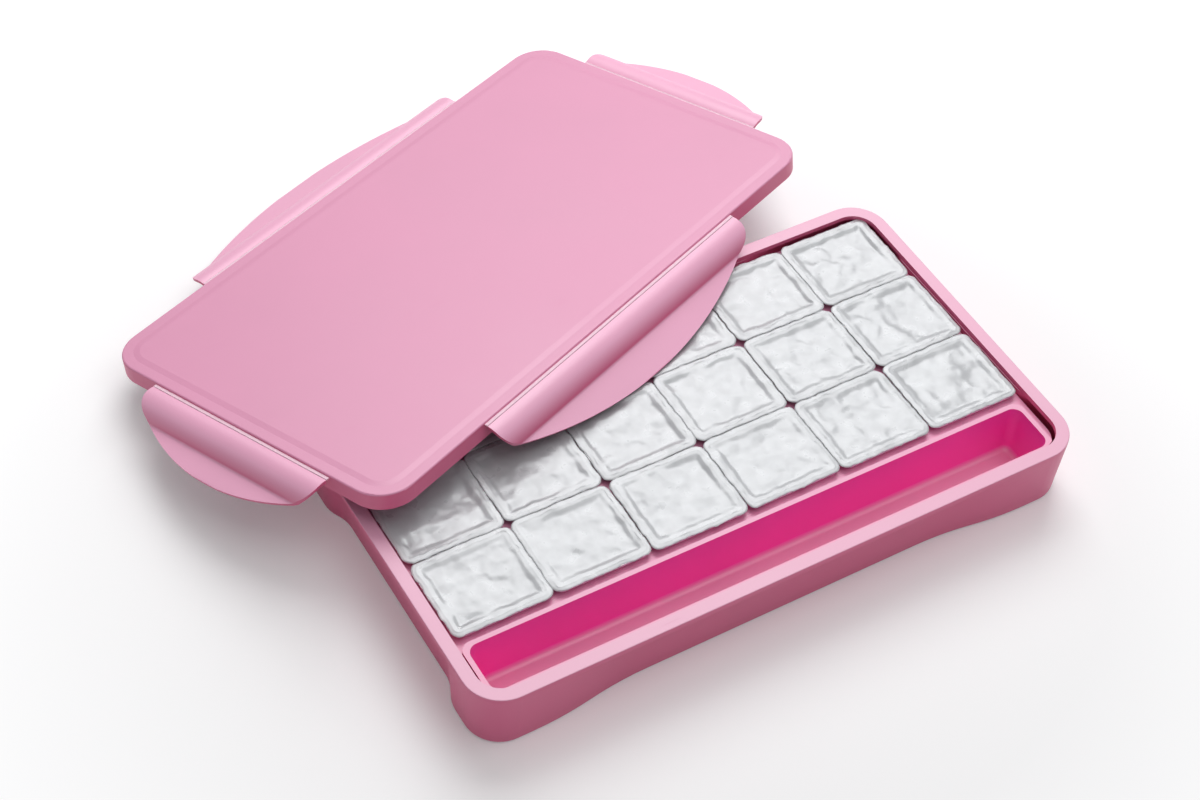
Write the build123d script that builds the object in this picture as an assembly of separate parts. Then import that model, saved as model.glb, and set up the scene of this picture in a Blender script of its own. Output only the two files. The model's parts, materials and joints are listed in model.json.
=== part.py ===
from build123d import *
import os
from math import atan, cos, degrees, radians, sin

# A gouache paint set: a moulded box with eighteen foil-sealed paint pots and a brush trough, and its
# lid, which lies askew across the open box with its four hinged flaps spread. Millimetres, +Z up.
# The origin is the centre of the box's foot, X runs along its long side and Y towards its back.

# Outer box
BOX_LENGTH = 310.0
BOX_WIDTH = 177.0
BOX_HEIGHT = 34.0
BOX_CORNER = 18.0
BOX_WALL = 1.8
BOX_FLOOR = 1.8
RIM_WIDTH = 6.2
RIM_BAND = 2.5
RIM_ROUND = 0.4
FOOT_INSET = 1.5
FOOT_ROUND = 2.0
SCOOP_DEPTH = 4.8
LONG_SCOOP_LEAD = 8.0
LONG_SCOOP_RUN = 58.0
SHORT_SCOOP_LEAD = 8.0
SHORT_SCOOP_RUN = 18.0

# Insert: deck, wells and brush trough in one moulding
INSERT_GAP = 0.9
DECK_DROP = 5.5
DECK_THICKNESS = 1.2
SKIRT_WALL = 1.2
TROUGH_LIP_DROP = 2.0
TROUGH_FLOOR_HEIGHT = 6.0
TROUGH_LEFT_GAP = 3.6
TROUGH_RIGHT_GAP = 7.6
TROUGH_FRONT_GAP = 1.9
TROUGH_WIDTH = 25.1
TROUGH_CORNER = 5.0
TROUGH_LIP_WIDTH = 2.3
TROUGH_WALL = 1.2
TROUGH_DRAFT = 1.6
TROUGH_ROUND = 3.0
COLUMNS = 6
ROWS = 3
WELL_FLOOR_HEIGHT = 9.0
WELL_WALL = 1.0
WELL_ROUND = 1.2
FIELD_SIDE_GAP = 1.4
FIELD_TROUGH_GAP = 6.1
FIELD_BACK_GAP = 2.2

# Pots
POT_GAP = 0.8
FOIL_DROP = 2.0
FLANGE_THICKNESS = 1.15
FLANGE_OVERHANG = 2.45
FLANGE_CORNER = 5.0
POT_CORNER = 4.6
POT_WALL = 0.9
POT_DRAFT = 1.4
POT_ROUND = 2.4
WELL_CLEARANCE = 0.4
POT_PLAY = 0.15
POT_TURN = 0.3
PAINT_HEADROOM = 1.2
FOIL_THICKNESS = 0.25
FOIL_INSET = 0.2
FOIL_BAND = 4.6
FOIL_SINK = 0.6
FOIL_SLOPE = 1.4

# Lid
LID_INSET = 0.8
LID_HEIGHT = 8.5
LID_PANEL = 2.2
LID_WALL = 2.0
LID_ROUND = 0.9
FIELD_INSET = 5.5
FIELD_SLOPE = 3.0
FIELD_RISE = 0.35

# Living hinges and flaps
HINGE_REACH = 1.4
HINGE_DROP = 1.3
BEAD_RADIUS = 0.4
WEB_THICKNESS = 0.5
BEAD_GAP = 0.1
LONG_HINGE_INSET = 64.6
SHORT_HINGE_INSET = 34.2
LONG_FLAP_REACH = 32.0
SHORT_FLAP_REACH = 27.0
LONG_SHOULDER = 11.4
SHORT_SHOULDER = 10.1
SHOULDER_ROUND = 11.0
FLAP_THICKNESS = 1.5
ROLL_RADIUS = 10.8
ROLL_START = 32.0
ROLL_END = 62.0
LIP_RISE = 4.0
VALLEY_ROUND = 1.5
TIP_ROUND = 0.6

# How the lid lies: turned, leaning back and a little to the right, with the tip of its back flap on the
# table and the tip of its front flap on the pots
LID_TURN = 20.9
LID_LEAN_BACK = 10.3
LID_LEAN_RIGHT = 1.3
LID_SHIFT_LEFT = 35.4
LID_SHIFT_BACK = 57.7
LID_OVER_RIM = 1.3
LEFT_DROOP = 18.0
RIGHT_DROOP = 6.0
REST_CLEARANCE = 0.3

FREE_POTS = (1, 2, 3, 4, 5, 6, 10, 11, 12, 18)

# Worked out from the sizes above
DECK_TOP = BOX_HEIGHT - DECK_DROP
FOIL_TOP = BOX_HEIGHT - FOIL_DROP
FLANGE_TOP = FOIL_TOP - FOIL_THICKNESS
FLANGE_BOTTOM = FLANGE_TOP - FLANGE_THICKNESS
TROUGH_LEFT = RIM_WIDTH + TROUGH_LEFT_GAP
TROUGH_RIGHT = RIM_WIDTH + TROUGH_RIGHT_GAP
TROUGH_FRONT = RIM_WIDTH + TROUGH_FRONT_GAP
FIELD_SIDE = RIM_WIDTH + FIELD_SIDE_GAP
FIELD_FRONT = TROUGH_FRONT + TROUGH_WIDTH + FIELD_TROUGH_GAP
FIELD_BACK = RIM_WIDTH + FIELD_BACK_GAP
PITCH_X = (BOX_LENGTH - 2 * FIELD_SIDE) / COLUMNS
PITCH_Y = (BOX_WIDTH - FIELD_FRONT - FIELD_BACK) / ROWS
FLANGE_LENGTH = PITCH_X - POT_GAP
FLANGE_WIDTH = PITCH_Y - POT_GAP
POT_LENGTH = FLANGE_LENGTH - 2 * FLANGE_OVERHANG
POT_WIDTH = FLANGE_WIDTH - 2 * FLANGE_OVERHANG
LID_LENGTH = BOX_LENGTH - 2 * LID_INSET
LID_WIDTH = BOX_WIDTH - 2 * LID_INSET
LID_CORNER = BOX_CORNER - LID_INSET


def rounded_face(length, width, corner, height=0.0):
    """A flat rounded rectangle, centred, at a height."""
    return Pos(0, 0, height) * (Sketch() + RectangleRounded(length, width, corner)).face()


def tapered_block(length, width, corner, top, bottom, inset, rounding):
    """A rounded block from top down to bottom, drawn in by inset on each side, with its foot rounded."""
    upper = rounded_face(length, width, corner, top)
    lower = rounded_face(length - 2 * inset, width - 2 * inset, corner - inset, bottom)
    block = loft([lower, upper], ruled=True)
    return fillet(block.faces().sort_by(Axis.Z)[0].edges(), rounding)


def scoop_turn(run):
    """The angle of each of the two arcs that ease a wall in by the scoop's depth over a run."""
    return 2 * degrees(atan(SCOOP_DEPTH / run))


def wall_outline(inset, height):
    """The box wall's outline: rounded corners, and a long shallow scoop along the middle of each side."""
    sides = (
        (BOX_LENGTH, LONG_SCOOP_LEAD, LONG_SCOOP_RUN),
        (BOX_WIDTH, SHORT_SCOOP_LEAD, SHORT_SCOOP_RUN),
    )
    here = Vector(BOX_CORNER - BOX_LENGTH / 2, inset - BOX_WIDTH / 2)
    way = Vector(1, 0)
    pieces = []
    for side, lead, run in sides * 2:
        turn = scoop_turn(run)
        bend = run / (2 * sin(radians(turn)))
        middle = side - 2 * (BOX_CORNER + lead + run)
        steps = (
            (lead, 0),
            (bend - inset, turn),
            (bend + inset, -turn),
            (middle, 0),
            (bend + inset, -turn),
            (bend - inset, turn),
            (lead, 0),
            (BOX_CORNER - inset, 90),
        )
        for size, angle in steps:
            if angle:
                piece = JernArc(here, way, size, angle)
            else:
                piece = Line(here, here + way * size)
            pieces.append(piece)
            here = piece @ 1
            way = piece % 1
    return Pos(0, 0, height) * make_face(Curve() + pieces).face()


def outer_box():
    """The box: a thin drafted wall on a flat floor, under a straight rim that overhangs the scoops."""
    under_rim = BOX_HEIGHT - RIM_BAND
    draft = FOOT_INSET / under_rim
    body = loft([wall_outline(FOOT_INSET, 0), wall_outline(0, under_rim)], ruled=True)
    body = fillet(body.faces().sort_by(Axis.Z)[0].edges(), FOOT_ROUND)
    band = extrude(rounded_face(BOX_LENGTH, BOX_WIDTH, BOX_CORNER, under_rim), RIM_BAND)
    band = fillet(band.faces().sort_by(Axis.Z)[-1].edges(), RIM_ROUND)
    floor_inset = BOX_WALL + FOOT_INSET - draft * BOX_FLOOR
    inside = loft([wall_outline(floor_inset, BOX_FLOOR), wall_outline(BOX_WALL, under_rim)], ruled=True)
    mouth = rounded_face(BOX_LENGTH - 2 * RIM_WIDTH, BOX_WIDTH - 2 * RIM_WIDTH, BOX_CORNER - RIM_WIDTH)
    mouth = extrude(Pos(0, 0, under_rim - RIM_ROUND) * mouth, RIM_BAND + 2 * RIM_ROUND)
    return body + band - inside - mouth


def well_place(number):
    """Where a pot's centre lies, counted from 1 along the front row and then row by row to the back."""
    row, column = divmod(number - 1, COLUMNS)
    x = FIELD_SIDE + (column + 0.5) * PITCH_X - BOX_LENGTH / 2
    y = FIELD_FRONT + (row + 0.5) * PITCH_Y - BOX_WIDTH / 2
    return x, y


def pot_place(number):
    """A pot's place: its well's, a little off and turned within the play that the well leaves it."""
    x, y = well_place(number)
    off = Pos(x + POT_PLAY * sin(2.3 * number), y + POT_PLAY * cos(3.1 * number), 0)
    return off * Rot(0, 0, POT_TURN * sin(1.7 * number))


def well_block(grow, floor, rounding):
    """A well's hollow, or its outside where grow is the wall: from the deck down, around a pot."""
    slope = POT_DRAFT / (FLANGE_BOTTOM - WELL_FLOOR_HEIGHT)
    side = WELL_CLEARANCE + grow - slope * (FLANGE_BOTTOM - DECK_TOP)
    drawn_in = slope * (DECK_TOP - floor)
    corner = POT_CORNER + WELL_CLEARANCE + grow
    length = POT_LENGTH + 2 * side
    return tapered_block(length, POT_WIDTH + 2 * side, corner, DECK_TOP, floor, drawn_in, rounding)


def trough_middle():
    """The middle of the brush trough, nearer the left end than the right."""
    x = (TROUGH_LEFT - TROUGH_RIGHT) / 2
    return Pos(x, TROUGH_FRONT + TROUGH_WIDTH / 2 - BOX_WIDTH / 2, 0)


def trough_block(grow, floor, rounding):
    """The trough's hollow, or its outside where grow is the wall."""
    length = BOX_LENGTH - TROUGH_LEFT - TROUGH_RIGHT + 2 * grow
    top = BOX_HEIGHT - TROUGH_LIP_DROP
    block = tapered_block(
        length, TROUGH_WIDTH + 2 * grow, TROUGH_CORNER + grow, top, floor, TROUGH_DRAFT, rounding
    )
    return trough_middle() * block


def trough_lip(outline):
    """The raised lip round the trough, flush with the insert's front edge."""
    top = BOX_HEIGHT - TROUGH_LIP_DROP
    length = BOX_LENGTH - TROUGH_LEFT - TROUGH_RIGHT + 2 * TROUGH_LIP_WIDTH
    lip = rounded_face(length, TROUGH_WIDTH + 2 * TROUGH_LIP_WIDTH, TROUGH_CORNER, DECK_TOP)
    lip = extrude(trough_middle() * lip, top - DECK_TOP)
    return lip & extrude(Pos(0, 0, DECK_TOP) * outline, top - DECK_TOP)


def insert():
    """The insert: a deck on a skirt, with eighteen wells and the brush trough hanging from it."""
    edge = RIM_WIDTH + INSERT_GAP
    outline = rounded_face(BOX_LENGTH - 2 * edge, BOX_WIDTH - 2 * edge, BOX_CORNER - edge)
    shell = tapered_block(
        BOX_LENGTH - 2 * edge,
        BOX_WIDTH - 2 * edge,
        BOX_CORNER - edge,
        DECK_TOP,
        BOX_FLOOR,
        FOOT_INSET,
        SKIRT_WALL / 3,
    )
    inner = edge + SKIRT_WALL
    hollow = tapered_block(
        BOX_LENGTH - 2 * inner,
        BOX_WIDTH - 2 * inner,
        BOX_CORNER - inner,
        DECK_TOP - DECK_THICKNESS,
        BOX_FLOOR,
        FOOT_INSET,
        SKIRT_WALL / 3,
    )
    places = [Pos(*well_place(number), 0) for number in range(1, COLUMNS * ROWS + 1)]
    well_outside = well_block(WELL_WALL, WELL_FLOOR_HEIGHT - WELL_WALL, WELL_ROUND + WELL_WALL)
    well_hollow = well_block(0, WELL_FLOOR_HEIGHT, WELL_ROUND)
    outsides = [place * well_outside for place in places]
    hollows = [place * well_hollow for place in places]
    trough_outside = trough_block(TROUGH_WALL, TROUGH_FLOOR_HEIGHT - TROUGH_WALL, TROUGH_ROUND + TROUGH_WALL)
    keep = extrude(Pos(0, 0, BOX_FLOOR) * outline, BOX_HEIGHT)
    body = shell - hollow + outsides + trough_lip(outline) + (trough_outside & keep)
    return body - hollows - trough_block(0, TROUGH_FLOOR_HEIGHT, TROUGH_ROUND)


def pot_inside():
    """A pot's hollow, from its mouth to its floor."""
    floor = WELL_FLOOR_HEIGHT + POT_WALL
    side = POT_LENGTH - 2 * POT_WALL
    across = POT_WIDTH - 2 * POT_WALL
    return tapered_block(side, across, POT_CORNER - POT_WALL, FLANGE_TOP, floor, POT_DRAFT, POT_ROUND - POT_WALL)


def pot():
    """A thin tapered pot with a flat flange round its mouth."""
    body = tapered_block(
        POT_LENGTH, POT_WIDTH, POT_CORNER, FLANGE_TOP, WELL_FLOOR_HEIGHT, POT_DRAFT, POT_ROUND
    )
    flange = extrude(
        rounded_face(FLANGE_LENGTH, FLANGE_WIDTH, FLANGE_CORNER, FLANGE_BOTTOM), FLANGE_THICKNESS
    )
    return body + flange - pot_inside()


def paint():
    """The paint that fills a pot to just under its seal."""
    level = FLANGE_BOTTOM - PAINT_HEADROOM
    below = Pos(0, 0, level / 2) * Box(PITCH_X, PITCH_Y, level)
    return pot_inside() & below


def foil():
    """A pot's foil seal: a flat band on the flange round a shallow pan pressed into the mouth."""
    length = FLANGE_LENGTH - 2 * FOIL_INSET
    width = FLANGE_WIDTH - 2 * FOIL_INSET
    sheet = extrude(rounded_face(length, width, FLANGE_CORNER - FOIL_INSET, FLANGE_TOP), FOIL_THICKNESS)
    pan_length = length - 2 * FOIL_BAND
    pan_width = width - 2 * FOIL_BAND
    corner = FOIL_SLOPE + FOIL_THICKNESS
    under = loft(
        [
            rounded_face(pan_length - 2 * FOIL_SLOPE, pan_width - 2 * FOIL_SLOPE, corner, FLANGE_TOP - FOIL_SINK),
            rounded_face(pan_length, pan_width, corner + FOIL_SLOPE, FLANGE_TOP),
        ],
        ruled=True,
    )
    return sheet + under - Pos(0, 0, FOIL_THICKNESS) * under


def lid_shell():
    """The lid in its own frame, with its top face at zero: a panel in a shallow skirt, its middle raised."""
    block = extrude(rounded_face(LID_LENGTH, LID_WIDTH, LID_CORNER, -LID_HEIGHT), LID_HEIGHT)
    block = fillet(block.faces().sort_by(Axis.Z)[-1].edges(), LID_ROUND)
    hollow = rounded_face(
        LID_LENGTH - 2 * LID_WALL, LID_WIDTH - 2 * LID_WALL, LID_CORNER - LID_WALL, -LID_HEIGHT
    )
    inner = FIELD_INSET + FIELD_SLOPE
    field = loft(
        [
            rounded_face(LID_LENGTH - 2 * FIELD_INSET, LID_WIDTH - 2 * FIELD_INSET, LID_CORNER - FIELD_INSET),
            rounded_face(LID_LENGTH - 2 * inner, LID_WIDTH - 2 * inner, LID_CORNER - inner, FIELD_RISE),
        ],
        ruled=True,
    )
    return block + field - extrude(hollow, LID_HEIGHT - LID_PANEL)


def flap_sizes(side):
    """A flap's hinge length, its reach and its shoulder height."""
    if side in ("front", "back"):
        return BOX_LENGTH - 2 * LONG_HINGE_INSET, LONG_FLAP_REACH, LONG_SHOULDER
    return BOX_WIDTH - 2 * SHORT_HINGE_INSET, SHORT_FLAP_REACH, SHORT_SHOULDER


def hinge_frame(side):
    """A hinge's frame on the lid: X along the hinge line, Y outwards, Z up."""
    reach = {"front": LID_WIDTH / 2, "back": LID_WIDTH / 2, "left": LID_LENGTH / 2, "right": LID_LENGTH / 2}
    turn = {"back": 0, "left": 90, "front": 180, "right": 270}
    return Rot(0, 0, turn[side]) * Pos(0, reach[side] + HINGE_REACH, -HINGE_DROP)


def hinge_film(side):
    """The pale bead of the living hinge, on a thin web from the lid's edge."""
    length = flap_sizes(side)[0]
    bead = Rot(0, 90, 0) * Cylinder(BEAD_RADIUS, length)
    web = Pos(0, -HINGE_REACH / 2, 0) * Box(length, HINGE_REACH, WEB_THICKNESS)
    return hinge_frame(side) * (bead + web)


def roll_point(slope, depth):
    """A point of the flap's rolled part, by the slope of its outer face and its depth under that face."""
    start = BEAD_RADIUS + BEAD_GAP
    first = radians(ROLL_START)
    centre_out = start * cos(radians(ROLL_START)) + ROLL_RADIUS * sin(first)
    centre_up = start * sin(radians(ROLL_START)) - ROLL_RADIUS * cos(first)
    radius = ROLL_RADIUS - depth
    angle = radians(slope)
    return Vector(centre_out - radius * sin(angle), centre_up + radius * cos(angle))


def flap_section(reach):
    """The flap's section, outwards and up from the hinge line: a convex roll, a valley and a flared lip."""
    lip = Vector(cos(radians(LIP_RISE)), sin(radians(LIP_RISE)))
    down = Vector(lip.Y, -lip.X) * FLAP_THICKNESS
    middle = (ROLL_START - ROLL_END) / 2
    valley = roll_point(-ROLL_END, 0)
    tip = valley + lip * ((reach - valley.X) / lip.X)
    under = roll_point(-ROLL_END, FLAP_THICKNESS)
    roll = ThreePointArc(roll_point(ROLL_START, 0), roll_point(middle, 0), valley)
    back = ThreePointArc(under, roll_point(middle, FLAP_THICKNESS), roll_point(ROLL_START, FLAP_THICKNESS))
    edge = Polyline(valley, tip, tip + down, valley + down, under)
    face = make_face(Curve() + [roll, edge, back, Line(back @ 1, roll @ 0)])
    ends = face.vertices().filter_by_position(Axis.X, tip.X - 1, tip.X + 1)
    face = fillet(ends, TIP_ROUND)
    bend = face.vertices().sort_by_distance((valley.X, valley.Y, 0))[0]
    return fillet(bend, VALLEY_ROUND)


def flap(side):
    """A flap lying level in its hinge's frame: its section run along the hinge, cut to a bow's outline."""
    length, reach, shoulder = flap_sizes(side)
    half = length / 2
    section = Rot(0, 0, 90) * Rot(90, 0, 0) * flap_section(reach)
    bar = Pos(-half, 0, 0) * extrude(section, length, dir=(1, 0, 0))
    outline = Polyline((half, shoulder), (half, -reach), (-half, -reach), (-half, shoulder))
    bow = ThreePointArc((-half, shoulder), (0, reach), (half, shoulder))
    face = make_face(Curve() + [outline, bow])
    face = fillet(face.vertices().filter_by_position(Axis.Y, 0, reach), SHOULDER_ROUND)
    return bar & extrude(Pos(0, 0, -reach) * face, 2 * reach)


def lid_place():
    """Where the lid lies, as the place of its own frame."""
    tilt = Rot(0, 0, LID_TURN) * Rot(0, LID_LEAN_RIGHT, 0) * Rot(-LID_LEAN_BACK, 0, 0)
    return Pos(-LID_SHIFT_LEFT, BOX_WIDTH / 2 + LID_SHIFT_BACK, BOX_HEIGHT + LID_OVER_RIM) * tilt


def flap_place(side, droop):
    """A flap's place: its hinge frame on the lid, turned down by its droop."""
    return lid_place() * hinge_frame(side) * Rot(-droop, 0, 0)


def resting_droop(side, level):
    """The droop at which a flap's tip comes down to a level."""
    shape = flap(side)
    low = 0.0
    high = 80.0
    for _ in range(14):
        droop = (low + high) / 2
        lowest = (flap_place(side, droop) * shape).bounding_box().min.Z
        if lowest > level + REST_CLEARANCE:
            low = droop
        else:
            high = droop
    return low


def flap_droops():
    """How far each flap hangs down from the lid's plane."""
    return {
        "front": resting_droop("front", FOIL_TOP),
        "back": resting_droop("back", 0),
        "left": LEFT_DROOP,
        "right": RIGHT_DROOP,
    }


def pot_nodes():
    """Every pot with its foil and its paint; the paint of the covered pots is one piece of work."""
    nodes = {}
    covered = []
    for number in range(1, COLUMNS * ROWS + 1):
        place = pot_place(number)
        nodes[f"pot_{number:02d}"] = place * pot()
        nodes[f"foil_{number:02d}"] = place * foil()
        if number in FREE_POTS:
            nodes[f"paint_{number:02d}"] = place * paint()
        else:
            covered.append(place * paint())
    nodes["paint_covered"] = Compound(covered)
    return nodes


def lid_nodes():
    """The lid, its four hinges and its four flaps, as they lie."""
    nodes = {"lid": lid_place() * lid_shell()}
    for side, droop in flap_droops().items():
        nodes[f"hinge_{side}"] = lid_place() * hinge_film(side)
        nodes[f"flap_{side}"] = flap_place(side, droop) * flap(side)
    return nodes


def build():
    """Every piece by name."""
    return {"outer_box": outer_box(), "insert": insert()} | pot_nodes() | lid_nodes()


os.makedirs("parts", exist_ok=True)
for name, piece in build().items():
    export_step(piece, f"parts/{name}.step")
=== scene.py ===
"""Finishes a gouache paint set: moulded plastics, pressed foil seals, wet paint, a camera and a studio."""

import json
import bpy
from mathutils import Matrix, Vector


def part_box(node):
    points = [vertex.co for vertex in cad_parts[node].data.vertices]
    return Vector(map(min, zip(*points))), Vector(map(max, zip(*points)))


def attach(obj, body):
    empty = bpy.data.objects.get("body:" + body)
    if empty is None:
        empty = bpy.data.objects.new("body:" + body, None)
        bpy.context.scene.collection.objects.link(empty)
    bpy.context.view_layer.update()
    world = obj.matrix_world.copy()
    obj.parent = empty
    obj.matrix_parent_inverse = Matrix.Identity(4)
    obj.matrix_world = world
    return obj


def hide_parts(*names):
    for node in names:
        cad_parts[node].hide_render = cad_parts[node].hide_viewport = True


bl_info = {
    "name": "Gouache Paint Set",
    "version": (1, 0, 0),
    "blender": (4, 5, 0),
    "location": "View3D > Sidebar > Paint Set",
    "description": "Finishes a paint set's plastics and presses the foil seals of its pots",
    "category": "Object",
}

from math import pi, radians, sin

import bpy
from bpy.props import FloatProperty, FloatVectorProperty, PointerProperty
from mathutils import Vector

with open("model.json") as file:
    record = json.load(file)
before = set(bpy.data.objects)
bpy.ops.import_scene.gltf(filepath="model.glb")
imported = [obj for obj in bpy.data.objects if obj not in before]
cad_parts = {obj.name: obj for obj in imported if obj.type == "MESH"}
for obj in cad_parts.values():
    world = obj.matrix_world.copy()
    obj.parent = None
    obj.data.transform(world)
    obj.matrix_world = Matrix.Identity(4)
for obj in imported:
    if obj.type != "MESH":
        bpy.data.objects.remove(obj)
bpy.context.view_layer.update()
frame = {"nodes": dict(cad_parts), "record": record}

POTS = tuple(range(1, 19))
SIDES = ("front", "back", "left", "right")
FOIL_LOW, FOIL_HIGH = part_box("foil_01")
PITCH = (0.0491, 0.0431)
FIELD_SHIFT = (0.1474, 0.0492)
LAMP_PLACES = {"key": (0.55, 0.92, 1.3), "top": (0.3, -0.3, 1.7)}


def tone(red, green, blue):
    """A colour as a scene colour, from its red, green and blue on a screen."""
    def straight(level):
        level /= 255
        return level / 12.92 if level <= 0.04045 else ((level + 0.055) / 1.055) ** 2.4
    return straight(red), straight(green), straight(blue)


def colour_setting(name, description, red, green, blue):
    """A colour that the user may change."""
    return FloatVectorProperty(
        name=name, description=description, subtype="COLOR", size=3, min=0, max=1,
        default=tone(red, green, blue),
    )


def length_setting(name, description, default):
    """A length that the user may change, in metres."""
    return FloatProperty(
        name=name, description=description, default=default, min=0, precision=5, unit="LENGTH"
    )


def light_setting(name, description, default):
    """A power or strength of light that the user may change."""
    return FloatProperty(name=name, description=description, default=default, min=0)


def factor_setting(name, description, default):
    """A share from 0 to 1 that the user may change."""
    return FloatProperty(name=name, description=description, default=default, min=0, max=1, subtype="FACTOR")


class PlasticLook(bpy.types.PropertyGroup):
    """Colours and grain of the moulded plastics."""

    # The level colours are one pink plastic, paled by a painted sheen, and each part's copy is made lighter
    # or darker to match the light that falls on it; the flaps are a lighter copy of the lid's pink.
    box: colour_setting("Box", "Colour of the outer box where it lies level", 226, 162, 190)
    insert: colour_setting("Insert", "Colour of the insert where it lies level", 228, 150, 184)
    # Painted light: a bright deep pink on the insert's steep walls, standing in for the pink light bounced
    # round its hollows and the shade in them.
    painted_bounce_light_in_hollows: colour_setting("Painted Bounce Light In Hollows", "Colour of the insert's steep walls in their pink light", 252, 78, 188)
    lid: colour_setting("Lid", "Colour of the lid where it lies level", 219, 142, 177)
    flap: colour_setting("Flaps", "Colour of the latch flaps where they lie level", 236, 168, 199)
    painted_shade_on_walls: colour_setting("Painted Shade On Walls", "Colour of the steep walls, which the light bleaches less", 224, 96, 142)
    # Painted shade: a darker, deeper pink put on the steep walls of the box, lid and flaps, which stand in
    # shade.
    hinge: colour_setting("Hinges", "Colour of the flexed hinge strips", 244, 208, 224)
    pot: colour_setting("Pots", "Colour of the pots", 236, 236, 238)
    roughness: factor_setting("Roughness", "Roughness of the pink plastic", 0.42)
    grain: length_setting("Grain", "Width of one grain of the moulded surface", 0.0009)
    relief: factor_setting("Relief", "How much the moulded grain stands out", 0.06)


class FoilShape(bpy.types.PropertyGroup):
    """Sizes of one pressed foil seal."""

    proud: length_setting("Proud", "How far the foil oversails the pot's flange", 0.0005)
    corner: length_setting("Corner", "Radius of the corners", 0.0044)
    roll: length_setting("Roll", "Width of the edge that turns down", 0.0010)
    droop: length_setting("Droop", "How far the edge turns down", 0.00045)
    band: length_setting("Band", "Width of the sealed band", 0.0021)
    bead: length_setting("Bead", "Width of the line pressed along the band", 0.0006)
    bead_height: length_setting("Bead height", "Height of the pressed line", 0.0001)
    step: length_setting("Step", "Width of the slope down into the pan", 0.0027)
    sink: length_setting("Sink", "Depth of the pan", 0.0011)
    sheet: length_setting("Sheet", "Thickness of the foil", 0.00012)
    fold: length_setting("Fold", "Depth of the folds of the pan", 0.0010)
    fold_size: length_setting("Fold size", "Size of the facets between the folds", 0.012)
    swell: length_setting("Swell", "Height of the broad swellings of the pan", 0.0021)
    swell_size: length_setting("Swell size", "Size of one swelling", 0.017)
    crumple: length_setting("Crumple", "Height of the small dents everywhere", 0.00038)
    crumple_size: length_setting("Crumple size", "Size of one small dent", 0.0055)
    wander: length_setting("Wander", "How far the lines and the edge wander", 0.0017)
    wander_size: length_setting("Wander size", "Length of one bend in them", 0.006)
    tooth: length_setting("Tooth", "Pitch of the nicks along the torn edge", 0.0011)
    torn: length_setting("Torn", "Depth of the nicks", 0.00035)
    square: length_setting("Square", "Size of the squares that the pan is cut into", 0.00085)


class StudioLook(bpy.types.PropertyGroup):
    """The camera, the lamps and the floor."""

    camera_place: FloatVectorProperty(
        name="Camera place", description="Where the camera stands", subtype="TRANSLATION", size=3,
        default=(-0.42255, -0.55103, 0.84131),
    )
    camera_turn: FloatVectorProperty(
        name="Camera turn", description="How the camera is turned", subtype="EULER", size=3,
        default=(radians(41.0981), radians(-3.1729), radians(-30.3248)),
    )
    lens: FloatProperty(name="Lens", description="Focal length in millimetres", default=71.086, min=1)
    key: light_setting("Key lamp", "Power of the large lamp behind, in watts", 18.8)
    fill: light_setting("Fill lamp", "Power of the lamp overhead, in watts", 8.4)
    room: light_setting("Room light", "Strength of the light from all round", 0.245)
    floor: colour_setting("Floor", "Colour of the floor", 240, 240, 241)


def deselect():
    """Leaves nothing selected."""
    bpy.ops.object.select_all(action="DESELECT")


def hold(piece):
    """Makes a piece the only one selected, and active."""
    deselect()
    piece.select_set(True)
    bpy.context.view_layer.objects.active = piece


def edit(piece, mode="FACE"):
    """Opens a piece in edit mode with nothing selected."""
    hold(piece)
    bpy.ops.object.mode_set(mode="EDIT")
    bpy.ops.mesh.select_mode(type=mode)
    bpy.ops.mesh.select_all(action="DESELECT")


def pick(piece, kind, test):
    """Selects the faces, edges or vertices that pass a test, and returns to edit mode."""
    bpy.ops.mesh.select_all(action="DESELECT")
    bpy.ops.object.mode_set(mode="OBJECT")
    mesh = piece.data
    for item in getattr(mesh, kind):
        item.select = test(mesh, item)
    bpy.ops.object.mode_set(mode="EDIT")


def done(piece):
    """Closes edit mode and moves the piece's place into its mesh."""
    if bpy.context.mode != "OBJECT":
        bpy.ops.object.mode_set(mode="OBJECT")
    hold(piece)
    bpy.ops.object.transform_apply(location=True, rotation=True, scale=True)


def apply_all(piece):
    """Applies every modifier of a piece."""
    hold(piece)
    for name in [modifier.name for modifier in piece.modifiers]:
        bpy.ops.object.modifier_apply(modifier=name)


def wear(piece, material):
    """Gives a piece one material."""
    piece.data.materials.clear()
    piece.data.materials.append(material)


def refinish(nodes, material):
    """Gives each named node of the frame a material, in its own slots."""
    for node in nodes:
        for slot in frame["nodes"][node].material_slots:
            slot.material = material


# Materials


def add_node(tree, kind, place, **values):
    """A node of a kind, with its settings and its input values."""
    node = tree.nodes.new(kind)
    node.location = place
    for name, value in values.items():
        if hasattr(node, name):
            setattr(node, name, value)
        else:
            node.inputs[name.replace("_", " ")].default_value = value
    return node


def noise(tree, place, source, scale, detail=2.0, rough=0.5, output="Fac"):
    """A noise over the surface, and the socket it comes out of."""
    node = add_node(tree, "ShaderNodeTexNoise", place, Scale=scale, Detail=detail, Roughness=rough)
    tree.links.new(source, node.inputs["Vector"])
    return node.outputs[output]


def spread(tree, place, source, low, high, start=0.0, end=1.0):
    """A value moved from one range to another."""
    node = add_node(tree, "ShaderNodeMapRange", place)
    for index, value in enumerate((start, end, low, high), 1):
        if hasattr(value, "links"):
            tree.links.new(value, node.inputs[index])
        else:
            node.inputs[index].default_value = value
    tree.links.new(source, node.inputs[0])
    return node.outputs[0]


def reckon(tree, place, operation, first, second):
    """Arithmetic on two values, each a socket or a number."""
    node = add_node(tree, "ShaderNodeMath", place, operation=operation)
    for socket, value in zip(node.inputs, (first, second)):
        if hasattr(value, "links"):
            tree.links.new(value, socket)
        else:
            socket.default_value = value
    return node.outputs[0]


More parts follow.
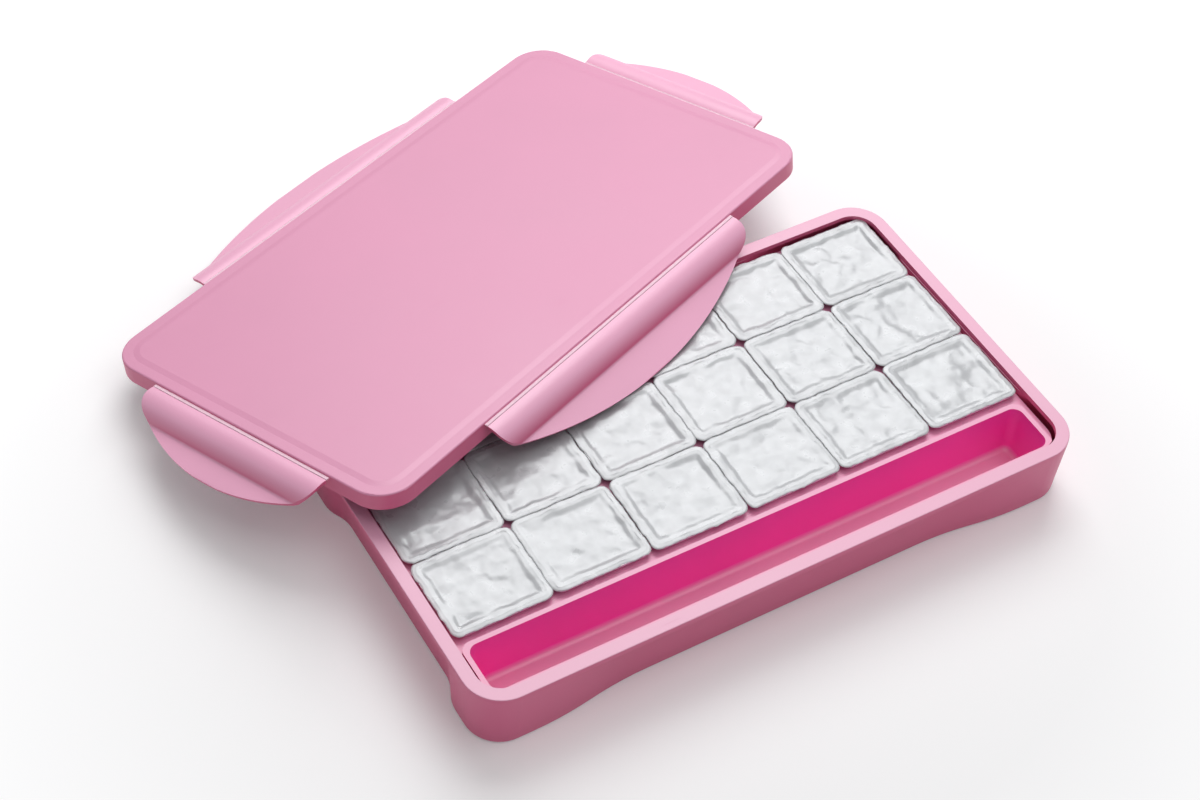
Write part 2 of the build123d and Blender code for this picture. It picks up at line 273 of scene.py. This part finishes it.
def blend_colours(tree, place, factor, first, second, blend="MIX"):
    """A mix of two colours, each a socket or a colour."""
    node = add_node(tree, "ShaderNodeMix", place, data_type="RGBA", blend_type=blend)
    for socket, value in ((node.inputs[0], factor), (node.inputs[6], first), (node.inputs[7], second)):
        if hasattr(value, "links"):
            tree.links.new(value, socket)
        else:
            socket.default_value = value
    return node.outputs[2]


def new_group(name, inputs, outputs):
    """An empty shader node group with named sockets."""
    group = bpy.data.node_groups.new(name, "ShaderNodeTree")
    for socket, kind, value in inputs:
        made = group.interface.new_socket(name=socket, in_out="INPUT", socket_type=kind)
        made.default_value = value
    for socket, kind in outputs:
        group.interface.new_socket(name=socket, in_out="OUTPUT", socket_type=kind)
    enter = add_node(group, "NodeGroupInput", (-1200, 0))
    leave = add_node(group, "NodeGroupOutput", (600, 0))
    return group, enter.outputs, leave.inputs


def moulded_skin_group():
    """Moulded plastic: a faint drift of colour, fine grain, and hairline scuffs that dull the gloss."""
    group, given, out = new_group(
        "Moulded Skin",
        (
            ("Colour", "NodeSocketColor", (0.8, 0.4, 0.5, 1)),
            ("Drift", "NodeSocketFloat", 0.1),
            ("Grain Scale", "NodeSocketFloat", 1100.0),
            ("Roughness", "NodeSocketFloat", 0.35),
            ("Scuffs", "NodeSocketFloat", 0.3),
        ),
        (("Colour", "NodeSocketColor"), ("Roughness", "NodeSocketFloat"), ("Height", "NodeSocketFloat")),
    )
    where = add_node(group, "ShaderNodeTexCoord", (-1200, -300)).outputs["Object"]
    cloud = noise(group, (-900, 200), where, 14.0, 3.0)
    drift = spread(group, (-700, 200), cloud, -0.5, 0.5, 0.3, 0.7)
    amount = reckon(group, (-500, 200), "MULTIPLY", drift, given["Drift"])
    lift = reckon(group, (-300, 200), "ADD", amount, 1.0)
    shade = add_node(group, "ShaderNodeHueSaturation", (-100, 200))
    group.links.new(given["Colour"], shade.inputs["Color"])
    group.links.new(lift, shade.inputs["Value"])
    group.links.new(shade.outputs[0], out["Colour"])
    grain_node = add_node(group, "ShaderNodeTexNoise", (-900, -100), Detail=3.0, Roughness=0.6)
    group.links.new(where, grain_node.inputs["Vector"])
    group.links.new(given["Grain Scale"], grain_node.inputs["Scale"])
    long_way = add_node(group, "ShaderNodeMapping", (-1000, -500))
    long_way.inputs["Scale"].default_value = (30.0, 900.0, 900.0)
    long_way.inputs["Rotation"].default_value = (0.0, 0.0, radians(34))
    group.links.new(where, long_way.inputs["Vector"])
    lines = noise(group, (-800, -500), long_way.outputs[0], 1.0, 1.0)
    hairs = spread(group, (-600, -500), lines, 0.0, 1.0, 0.69, 0.74)
    patches = spread(group, (-600, -700), noise(group, (-800, -700), where, 22.0, 2.0), 0.0, 1.0, 0.52, 0.62)
    scuff = reckon(group, (-400, -500), "MULTIPLY", hairs, patches)
    scuff = reckon(group, (-250, -500), "MULTIPLY", scuff, given["Scuffs"])
    smudge = spread(group, (-600, -300), cloud, -0.035, 0.035, 0.3, 0.7)
    rough = reckon(group, (-100, -300), "ADD", given["Roughness"], smudge)
    scuffed = reckon(group, (-100, -450), "MULTIPLY", scuff, 0.25)
    group.links.new(reckon(group, (100, -300), "ADD", rough, scuffed), out["Roughness"])
    dent = reckon(group, (100, -100), "MULTIPLY", scuff, 0.6)
    group.links.new(reckon(group, (300, -100), "SUBTRACT", grain_node.outputs["Fac"], dent), out["Height"])
    return group


def crinkle_group():
    """The fine crinkle of foil or of a flexed strip: sharp small facets over a soft ripple."""
    group, given, out = new_group(
        "Fine Crinkle",
        (("Scale", "NodeSocketFloat", 300.0), ("Softness", "NodeSocketFloat", 0.5)),
        (("Height", "NodeSocketFloat"), ("Mask", "NodeSocketFloat")),
    )
    where = add_node(group, "ShaderNodeTexCoord", (-1200, -200)).outputs["Object"]
    cells = add_node(group, "ShaderNodeTexVoronoi", (-800, 100), feature="DISTANCE_TO_EDGE")
    group.links.new(where, cells.inputs["Vector"])
    group.links.new(given["Scale"], cells.inputs["Scale"])
    creases = spread(group, (-600, 100), cells.outputs["Distance"], 0.0, 1.0, 0.0, 0.25)
    ripple_node = add_node(group, "ShaderNodeTexNoise", (-800, -200), Detail=2.0)
    group.links.new(where, ripple_node.inputs["Vector"])
    group.links.new(given["Scale"], ripple_node.inputs["Scale"])
    mixed = add_node(group, "ShaderNodeMix", (-300, 0))
    group.links.new(given["Softness"], mixed.inputs[0])
    group.links.new(creases, mixed.inputs[2])
    group.links.new(ripple_node.outputs["Fac"], mixed.inputs[3])
    group.links.new(mixed.outputs[0], out["Height"])
    group.links.new(ripple_node.outputs["Fac"], out["Mask"])
    return group


def shared_group(name, maker):
    """A node group, made the first time that it's asked for."""
    return bpy.data.node_groups.get(name) or maker()


def new_material(name, roughness, **sockets):
    """A material with a plain shader whose even values sit on its own sockets."""
    material = bpy.data.materials.new(name)
    material.use_nodes = True
    tree = material.node_tree
    shader = tree.nodes["Principled BSDF"]
    shader.inputs["Roughness"].default_value = roughness
    for socket, value in sockets.items():
        shader.inputs[socket.replace("_", " ")].default_value = value
    return material, tree, shader


def rise(tree, shader, height, strength, depth):
    """Turns a height into relief on the shader."""
    bump = add_node(tree, "ShaderNodeBump", (-250, -350), Strength=strength, Distance=depth)
    tree.links.new(height, bump.inputs["Height"])
    tree.links.new(bump.outputs[0], shader.inputs["Normal"])


def plastic(name, colour, roughness, drift=0.05, scuffs=0.3, relief=None, painted_wall_light_and_shade=None, **sockets):
    """Moulded plastic in one colour, or with a second colour painted on its steep walls: painted shade on the
    box, lid and flaps, painted pink bounce light in the insert.
    """
    look = bpy.context.scene.paint_set_plastic
    sockets = {"Specular_IOR_Level": 0.9} | sockets
    material, tree, shader = new_material(name, roughness, **sockets)
    skin = add_node(tree, "ShaderNodeGroup", (-600, 100))
    skin.node_tree = shared_group("Moulded Skin", moulded_skin_group)
    skin.inputs["Drift"].default_value = drift
    skin.inputs["Grain Scale"].default_value = 1 / look.grain
    skin.inputs["Roughness"].default_value = roughness
    skin.inputs["Scuffs"].default_value = scuffs
    skin.inputs["Colour"].default_value = (*colour, 1)
    # Painted light: faces blend from the level colour, paled by a painted sheen, to the painted wall colour
    # as they grow steep, whatever the lamps do.
    if painted_wall_light_and_shade is not None:
        normal = add_node(tree, "ShaderNodeNewGeometry", (-1400, 300)).outputs["True Normal"]
        split = add_node(tree, "ShaderNodeSeparateXYZ", (-1200, 300))
        tree.links.new(normal, split.inputs[0])
        level = reckon(tree, (-1000, 300), "ABSOLUTE", split.outputs["Z"], 0.0)
        painted_shade_on_walls = spread(tree, (-850, 300), level, 1.0, 0.0, 0.15, 0.8)
        mixed = blend_colours(tree, (-750, 300), painted_shade_on_walls, (*colour, 1), (*painted_wall_light_and_shade, 1))
        tree.links.new(mixed, skin.inputs["Colour"])
    tree.links.new(skin.outputs["Colour"], shader.inputs["Base Color"])
    tree.links.new(skin.outputs["Roughness"], shader.inputs["Roughness"])
    rise(tree, shader, skin.outputs["Height"], look.relief if relief is None else relief, 0.0004)
    return material


def crinkled(name, colour, roughness, scale, softness, strength, depth, **sockets):
    """A thin crinkled surface: foil, or a strip whitened by flexing."""
    material, tree, shader = new_material(name, roughness, **sockets)
    crinkle = add_node(tree, "ShaderNodeGroup", (-600, -200))
    crinkle.node_tree = shared_group("Fine Crinkle", crinkle_group)
    crinkle.inputs["Scale"].default_value = scale
    crinkle.inputs["Softness"].default_value = softness
    dim = tuple(level * 0.93 for level in colour)
    mask = spread(tree, (-450, 100), crinkle.outputs["Mask"], 0.0, 1.0, 0.35, 0.65)
    base = blend_colours(tree, (-250, 100), mask, (*colour, 1), (*dim, 1))
    tree.links.new(base, shader.inputs["Base Color"])
    tree.links.new(
        spread(tree, (-250, -100), crinkle.outputs["Mask"], roughness - 0.04, roughness + 0.06, 0.3, 0.7),
        shader.inputs["Roughness"],
    )
    rise(tree, shader, crinkle.outputs["Height"], strength, depth)
    return material


def wet_paint(name, colour, mixed_by_pot=False):
    """Thick wet paint with a soft gloss; the covered pots each take a colour of their own."""
    material, tree, shader = new_material(name, 0.4, Coat_Weight=0.3, Coat_Roughness=0.25)
    where = add_node(tree, "ShaderNodeTexCoord", (-1300, 0)).outputs["Object"]
    cloud = noise(tree, (-1000, 200), where, 90.0, 2.0)
    shade = add_node(tree, "ShaderNodeHueSaturation", (-300, 200))
    if mixed_by_pot:
        snap = add_node(tree, "ShaderNodeVectorMath", (-1100, -100), operation="SNAP")
        snap.inputs[1].default_value = (*PITCH, 1.0)
        shifted = add_node(tree, "ShaderNodeVectorMath", (-1200, -100), operation="ADD")
        shifted.inputs[1].default_value = (*FIELD_SHIFT, 0.0)
        tree.links.new(where, shifted.inputs[0])
        tree.links.new(shifted.outputs[0], snap.inputs[0])
        draw = add_node(tree, "ShaderNodeTexWhiteNoise", (-900, -100))
        tree.links.new(snap.outputs[0], draw.inputs["Vector"])
        ramp = add_node(tree, "ShaderNodeValToRGB", (-700, -100))
        ramp.color_ramp.interpolation = "CONSTANT"
        tints = ((150, 70, 30), (230, 170, 60), (20, 90, 60), (240, 150, 170), (40, 60, 150), (110, 40, 30))
        for index, tint in enumerate(tints):
            place = index / len(tints)
            stops = ramp.color_ramp.elements
            stop = stops[index] if index < len(stops) else stops.new(place)
            stop.position = place
            stop.color = (*tone(*tint), 1)
        tree.links.new(draw.outputs["Value"], ramp.inputs[0])
        tree.links.new(ramp.outputs[0], shade.inputs["Color"])
    else:
        shade.inputs["Color"].default_value = (*colour, 1)
    tree.links.new(spread(tree, (-600, 200), cloud, 0.9, 1.08, 0.3, 0.7), shade.inputs["Value"])
    tree.links.new(shade.outputs[0], shader.inputs["Base Color"])
    rise(tree, shader, noise(tree, (-600, -300), where, 260.0, 2.0), 0.2, 0.0006)
    return material


# Operators


class PAINTSET_OT_stage(bpy.types.Operator):
    """Lay the floor, light the room and hang the lamps"""

    bl_idname = "paintset.stage"
    bl_label = "Stage"

    def execute(self, context):
        look = context.scene.paint_set_studio
        deselect()
        bpy.ops.mesh.primitive_plane_add(size=8, location=(0, 0, 0))
        floor = context.object
        floor.name = "studio_floor"
        wear(floor, self.floor_material(look))
        self.room(context, look)
        self.lamp("key_lamp", look.key, 1.2, LAMP_PLACES["key"])
        self.lamp("top_lamp", look.fill, 1.4, LAMP_PLACES["top"])
        context.scene.view_settings.view_transform = "Standard"
        return {"FINISHED"}

    def floor_material(self, look):
        """Pale and matt, brought up to white for the camera and for gloss, more so far from the set, which
        paints shade on the floor around the set.
        """
        material, tree, shader = new_material("Studio Floor", 0.9, Specular_IOR_Level=0.0)
        where = add_node(tree, "ShaderNodeTexCoord", (-900, 0)).outputs["Object"]
        pale = tuple(level * 0.985 for level in look.floor)
        mottle = noise(tree, (-700, 0), where, 3.0, 2.0)
        colour = blend_colours(tree, (-450, 0), mottle, (*look.floor, 1), (*pale, 1))
        tree.links.new(colour, shader.inputs["Base Color"])
        path = add_node(tree, "ShaderNodeLightPath", (-700, -300))
        camera, glossy = path.outputs["Is Camera Ray"], path.outputs["Is Glossy Ray"]
        seen = reckon(tree, (-450, -300), "MAXIMUM", camera, glossy)
        away = add_node(tree, "ShaderNodeVectorMath", (-700, -550), operation="LENGTH")
        tree.links.new(where, away.inputs[0])
        # Painted shadow: the floor glows less near the set than further off, so it darkens round the set and
        # deepens its shadow.
        near_glow_for_painted_shade = spread(tree, (-450, -500), away.outputs["Value"], 0.14, 0.4, 0.2, 0.45)
        far = spread(tree, (-450, -750), away.outputs["Value"], 0.0, 0.65, 0.6, 2.4)
        glow_with_painted_shade = reckon(tree, (-250, -550), "ADD", near_glow_for_painted_shade, far)
        tree.links.new(reckon(tree, (-250, -300), "MULTIPLY", seen, glow_with_painted_shade), shader.inputs["Emission Strength"])
        shader.inputs["Emission Color"].default_value = (1, 1, 1, 1)
        return material

    def room(self, context, look):
        """Soft light from all round, white to the camera and to gloss."""
        world = bpy.data.worlds.new("Soft Room")
        context.scene.world = world
        world.use_nodes = True
        tree = world.node_tree
        back = tree.nodes["Background"]
        back.inputs["Color"].default_value = (1, 1, 1, 1)
        path = add_node(tree, "ShaderNodeLightPath", (-800, 0))
        camera, passing = path.outputs["Is Camera Ray"], path.outputs["Is Transmission Ray"]
        seen = reckon(tree, (-600, 0), "MAXIMUM", camera, passing)
        glossy = reckon(tree, (-600, -200), "MULTIPLY", path.outputs["Is Glossy Ray"], 0.8)
        white = reckon(tree, (-400, -100), "MAXIMUM", seen, glossy)
        strength = reckon(tree, (-200, -100), "MAXIMUM", white, look.room)
        tree.links.new(strength, back.inputs["Strength"])

    def lamp(self, name, power, size, place):
        """A square lamp that faces the paint set."""
        deselect()
        bpy.ops.object.light_add(type="AREA", location=place)
        lamp = bpy.context.object
        lamp.name = name
        lamp.data.energy = power
        lamp.data.size = size
        lamp.rotation_euler = (-Vector(place)).to_track_quat("-Z", "Y").to_euler()


class PAINTSET_OT_camera(bpy.types.Operator):
    """Stand the camera where the set is looked at from"""

    bl_idname = "paintset.camera"
    bl_label = "Camera"

    def execute(self, context):
        look = context.scene.paint_set_studio
        deselect()
        bpy.ops.object.camera_add(location=look.camera_place, rotation=look.camera_turn)
        camera = context.object
        camera.data.sensor_width = 36.0
        camera.data.lens = look.lens
        camera.data.clip_start = 0.01
        context.scene.camera = camera
        return {"FINISHED"}


class PAINTSET_OT_plastics(bpy.types.Operator):
    """Finish the box, the insert, the lid and the flaps"""

    bl_idname = "paintset.plastics"
    bl_label = "Box, Insert, Lid and Flaps"

    def execute(self, context):
        look = context.scene.paint_set_plastic
        rough = look.roughness
        # The steep walls take painted shade on the box, lid and flaps and painted pink bounce light in the
        # insert; the flap material is a lighter copy of the lid's pink, painted for the light on the flaps.
        refinish(["outer_box"], plastic("Box Pink", look.box, rough, drift=0.06, scuffs=0.6, painted_wall_light_and_shade=look.painted_shade_on_walls))
        refinish(["insert"], plastic("Insert Pink", look.insert, rough, drift=0.06, painted_wall_light_and_shade=look.painted_bounce_light_in_hollows))
        refinish(["lid"], plastic("Lid Pink", look.lid, rough, drift=0.04, scuffs=0.5, painted_wall_light_and_shade=look.painted_shade_on_walls))
        flap = plastic("Flap Pink", look.flap, rough, drift=0.06, painted_wall_light_and_shade=look.painted_shade_on_walls)
        refinish([f"flap_{side}" for side in SIDES], flap)
        strip = crinkled("Hinge Strip", look.hinge, 0.45, 700.0, 0.6, 0.3, 0.0003)
        refinish([f"hinge_{side}" for side in SIDES], strip)
        return {"FINISHED"}


class PAINTSET_OT_pots(bpy.types.Operator):
    """Finish the pots and the paint in them"""

    bl_idname = "paintset.pots"
    bl_label = "Pots and Paint"

    def execute(self, context):
        look = context.scene.paint_set_plastic
        pale = plastic(
            "Pot Plastic", look.pot, 0.4, drift=0.03, scuffs=0.1,
            Subsurface_Weight=0.06, Subsurface_Scale=0.002,
        )
        refinish([f"pot_{number:02d}" for number in POTS], pale)
        colours = {given["slot"]: given["base_color"][:3] for given in frame["record"]["materials"]}
        for node in frame["nodes"]:
            if node.startswith("paint_"):
                refinish([node], wet_paint(f"Wet {node}", colours[node], node == "paint_covered"))
        return {"FINISHED"}


class PAINTSET_OT_foils(bpy.types.Operator):
    """Press a creased foil seal onto each pot"""

    bl_idname = "paintset.foils"
    bl_label = "Foil Seals"

    def execute(self, context):
        shape = context.scene.paint_set_foil
        material = crinkled(
            "Pearly Foil", tone(190, 192, 195), 0.3, 160.0, 0.7, 0.04, 0.0003,
            Metallic=0.08, Coat_Weight=0.35, Coat_Roughness=0.2,
        )
        blank = self.blank(context, shape)
        for number in POTS:
            self.press(context, shape, blank, number, material)
        hold(blank)
        bpy.ops.object.delete()
        return {"FINISHED"}

    def blank(self, context, shape):
        """A flat seal: turned edge, sealed band with a pressed line, and a pan cut into squares."""
        length = FOIL_HIGH.x - FOIL_LOW.x + 2 * shape.proud
        width = FOIL_HIGH.y - FOIL_LOW.y + 2 * shape.proud
        deselect()
        bpy.ops.mesh.primitive_plane_add(size=1, location=(0, 0, 0))
        sheet = context.object
        sheet.name = "foil_blank"
        sheet.scale = (length, width, 1)
        bpy.ops.object.transform_apply(scale=True)
        edit(sheet, "VERT")
        bpy.ops.mesh.select_all(action="SELECT")
        bpy.ops.mesh.bevel(offset=shape.corner, segments=6, affect="VERTICES")
        side = width - 2 * shape.corner
        pick(sheet, "edges", lambda mesh, edge: self.edge_length(mesh, edge) > side * 0.9)
        bpy.ops.mesh.subdivide(number_cuts=int(side / shape.tooth))
        bpy.ops.mesh.select_mode(type="FACE")
        bpy.ops.mesh.select_all(action="SELECT")
        rings = (
            (shape.roll * 0.2, shape.droop * 0.5),
            (shape.roll * 0.3, shape.droop * 0.35),
            (shape.roll * 0.5, shape.droop * 0.15),
            (shape.band / 2, 0.0),
            (shape.bead / 2, shape.bead_height),
            (shape.bead / 2, -shape.bead_height),
            (shape.band / 2, 0.0),
        )
        for thickness, depth in rings:
            bpy.ops.mesh.inset(thickness=thickness, depth=depth)
        self.cut_pan(sheet, shape)
        self.tear(sheet, shape, length, width)
        bpy.ops.object.mode_set(mode="OBJECT")
        return sheet

    @staticmethod
    def edge_length(mesh, edge):
        """The length of an edge."""
        first, second = (mesh.vertices[index].co for index in edge.vertices)
        return (first - second).length

    def cut_pan(self, sheet, shape):
        """Cuts the pan's one face into small squares, and marks its inside to be creased."""
        bpy.ops.object.mode_set(mode="OBJECT")
        pan = max(sheet.data.polygons, key=lambda face: face.area)
        corners = [sheet.data.vertices[index].co.copy() for index in pan.vertices]
        low = Vector(map(min, zip(*corners)))
        high = Vector(map(max, zip(*corners)))
        level = pan.center.z

        def inside(place, margin):
            return (
                abs(place.z - level) < 1e-6
                and low.x + margin < place.x < high.x - margin
                and low.y + margin < place.y < high.y - margin
            )

        bpy.ops.object.mode_set(mode="EDIT")
        for axis in (0, 1):
            strips = int((high - low)[axis] / shape.square)
            for strip in range(1, strips):
                point = low + (high - low) * (strip / strips)
                point.z = level
                normal = Vector((0, 0, 0))
                normal[axis] = 1
                pick(sheet, "polygons", lambda mesh, face: inside(face.center, 1e-5))
                bpy.ops.mesh.bisect(plane_co=point, plane_no=normal)
        group = sheet.vertex_groups.new(name="pan")
        bpy.ops.object.mode_set(mode="OBJECT")
        for vertex in sheet.data.vertices:
            if inside(vertex.co, 1e-6):
                place = vertex.co
                way = min(place.x - low.x, high.x - place.x, place.y - low.y, high.y - place.y)
                share = min(1.0, way / shape.step)
                group.add([vertex.index], share * share * (3 - 2 * share), "REPLACE")
        bpy.ops.object.mode_set(mode="EDIT")

    def tear(self, sheet, shape, length, width):
        """Draws in some of the outer edge's vertices, as the nicks of a torn strip."""
        bpy.ops.mesh.select_mode(type="VERT")
        edge_x = length / 2 - 1e-6
        edge_y = width / 2 - 1e-6
        pitch = shape.tooth
        for axis, edge in ((0, edge_x), (1, edge_y)):
            other = 1 - axis

            def tooth(mesh, vertex):
                along = vertex.co[other]
                straight = (edge_y, edge_x)[axis] - shape.corner
                on_edge = abs(vertex.co[axis]) > edge and abs(along) < straight
                return on_edge and int(round(along / pitch)) % 5 in (0, 2)

            pick(sheet, "vertices", tooth)
            scale = [1.0, 1.0, 1.0]
            scale[axis] = 1 - shape.torn / edge
            bpy.ops.transform.resize(value=scale, center_override=(0, 0, 0))

    def press(self, context, shape, blank, number, material):
        """One seal: a copy of the blank, creased by where it lies, on its pot."""
        low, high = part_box(f"foil_{number:02d}")
        seal = blank.copy()
        seal.data = blank.data.copy()
        seal.name = f"seal_{number:02d}"
        context.collection.objects.link(seal)
        middle = (low + high) / 2
        turn = number % 2 * pi
        seal.rotation_euler = (0, 0, turn + radians(0.3) * sin(1.7 * number))
        seal.location = (middle.x, middle.y, high.z - shape.droop)
        done(seal)
        self.push(seal, "Sink", -shape.sink, "Z", "pan", 0)
        self.push(seal, "Swell", shape.swell, "Z", "pan", 0.5, "CLOUDS", shape.swell_size)
        self.push(seal, "Fold", -shape.fold, "Z", "pan", 0.4, "VORONOI", shape.fold_size)
        self.push(seal, "Crumple", shape.crumple, "Z", "", 0.4, "CLOUDS", shape.crumple_size)
        for way in "XY":
            self.push(seal, f"Wander {way}", shape.wander, way, "", 0.5, "CLOUDS", shape.wander_size)
        thick = seal.modifiers.new("Sheet", "SOLIDIFY")
        thick.thickness = shape.sheet
        thick.offset = -1
        apply_all(seal)
        hold(seal)
        bpy.ops.object.shade_smooth_by_angle(angle=radians(40))
        wear(seal, material)
        foil = f"foil_{number:02d}"
        bodies = frame["record"]["behaviour"]["bodies"]
        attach(seal, next(body for body, nodes in bodies.items() if foil in nodes))
        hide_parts(foil)

    def push(self, seal, name, strength, way, group, level, kind="", size=1.0):
        """Pushes a seal's points one way, by a pattern fixed in the room, so that no two seals are alike."""
        push = seal.modifiers.new(name, "DISPLACE")
        push.direction = way
        push.vertex_group = group
        push.mid_level = level
        push.strength = strength
        if kind:
            push.texture = bpy.data.textures.get(name) or bpy.data.textures.new(name, kind)
            push.texture.noise_scale = size
            push.texture_coords = "GLOBAL"
        if kind == "VORONOI":
            push.texture.weight_1 = -1.0
            push.texture.weight_2 = 1.0


class PAINTSET_PT_panel(bpy.types.Panel):
    """The paint set's tools, in the sidebar"""

    bl_label = "Paint Set"
    bl_idname = "PAINTSET_PT_panel"
    bl_space_type = "VIEW_3D"
    bl_region_type = "UI"
    bl_category = "Paint Set"

    def draw(self, context):
        for operator in OPERATORS:
            self.layout.operator(operator.bl_idname)
        for settings in ("paint_set_plastic", "paint_set_foil", "paint_set_studio"):
            group = getattr(context.scene, settings)
            box = self.layout.box()
            for name in group.__annotations__:
                box.prop(group, name)


GROUPS = (PlasticLook, FoilShape, StudioLook)
OPERATORS = (
    PAINTSET_OT_camera,
    PAINTSET_OT_stage,
    PAINTSET_OT_plastics,
    PAINTSET_OT_pots,
    PAINTSET_OT_foils,
)
CLASSES = GROUPS + OPERATORS + (PAINTSET_PT_panel,)


def register():
    """Registers the classes and hangs the settings on the scene."""
    for item in CLASSES:
        bpy.utils.register_class(item)
    bpy.types.Scene.paint_set_plastic = PointerProperty(type=PlasticLook)
    bpy.types.Scene.paint_set_foil = PointerProperty(type=FoilShape)
    bpy.types.Scene.paint_set_studio = PointerProperty(type=StudioLook)


def unregister():
    """Takes the settings and the classes away again."""
    for name in ("paint_set_plastic", "paint_set_foil", "paint_set_studio"):
        delattr(bpy.types.Scene, name)
    for item in reversed(CLASSES):
        bpy.utils.unregister_class(item)


def main():
    """Makes the whole picture."""
    register()
    bpy.ops.paintset.camera()
    bpy.ops.paintset.stage()
    bpy.ops.paintset.plastics()
    bpy.ops.paintset.pots()
    bpy.ops.paintset.foils()


if __name__ == "__main__":
    main()
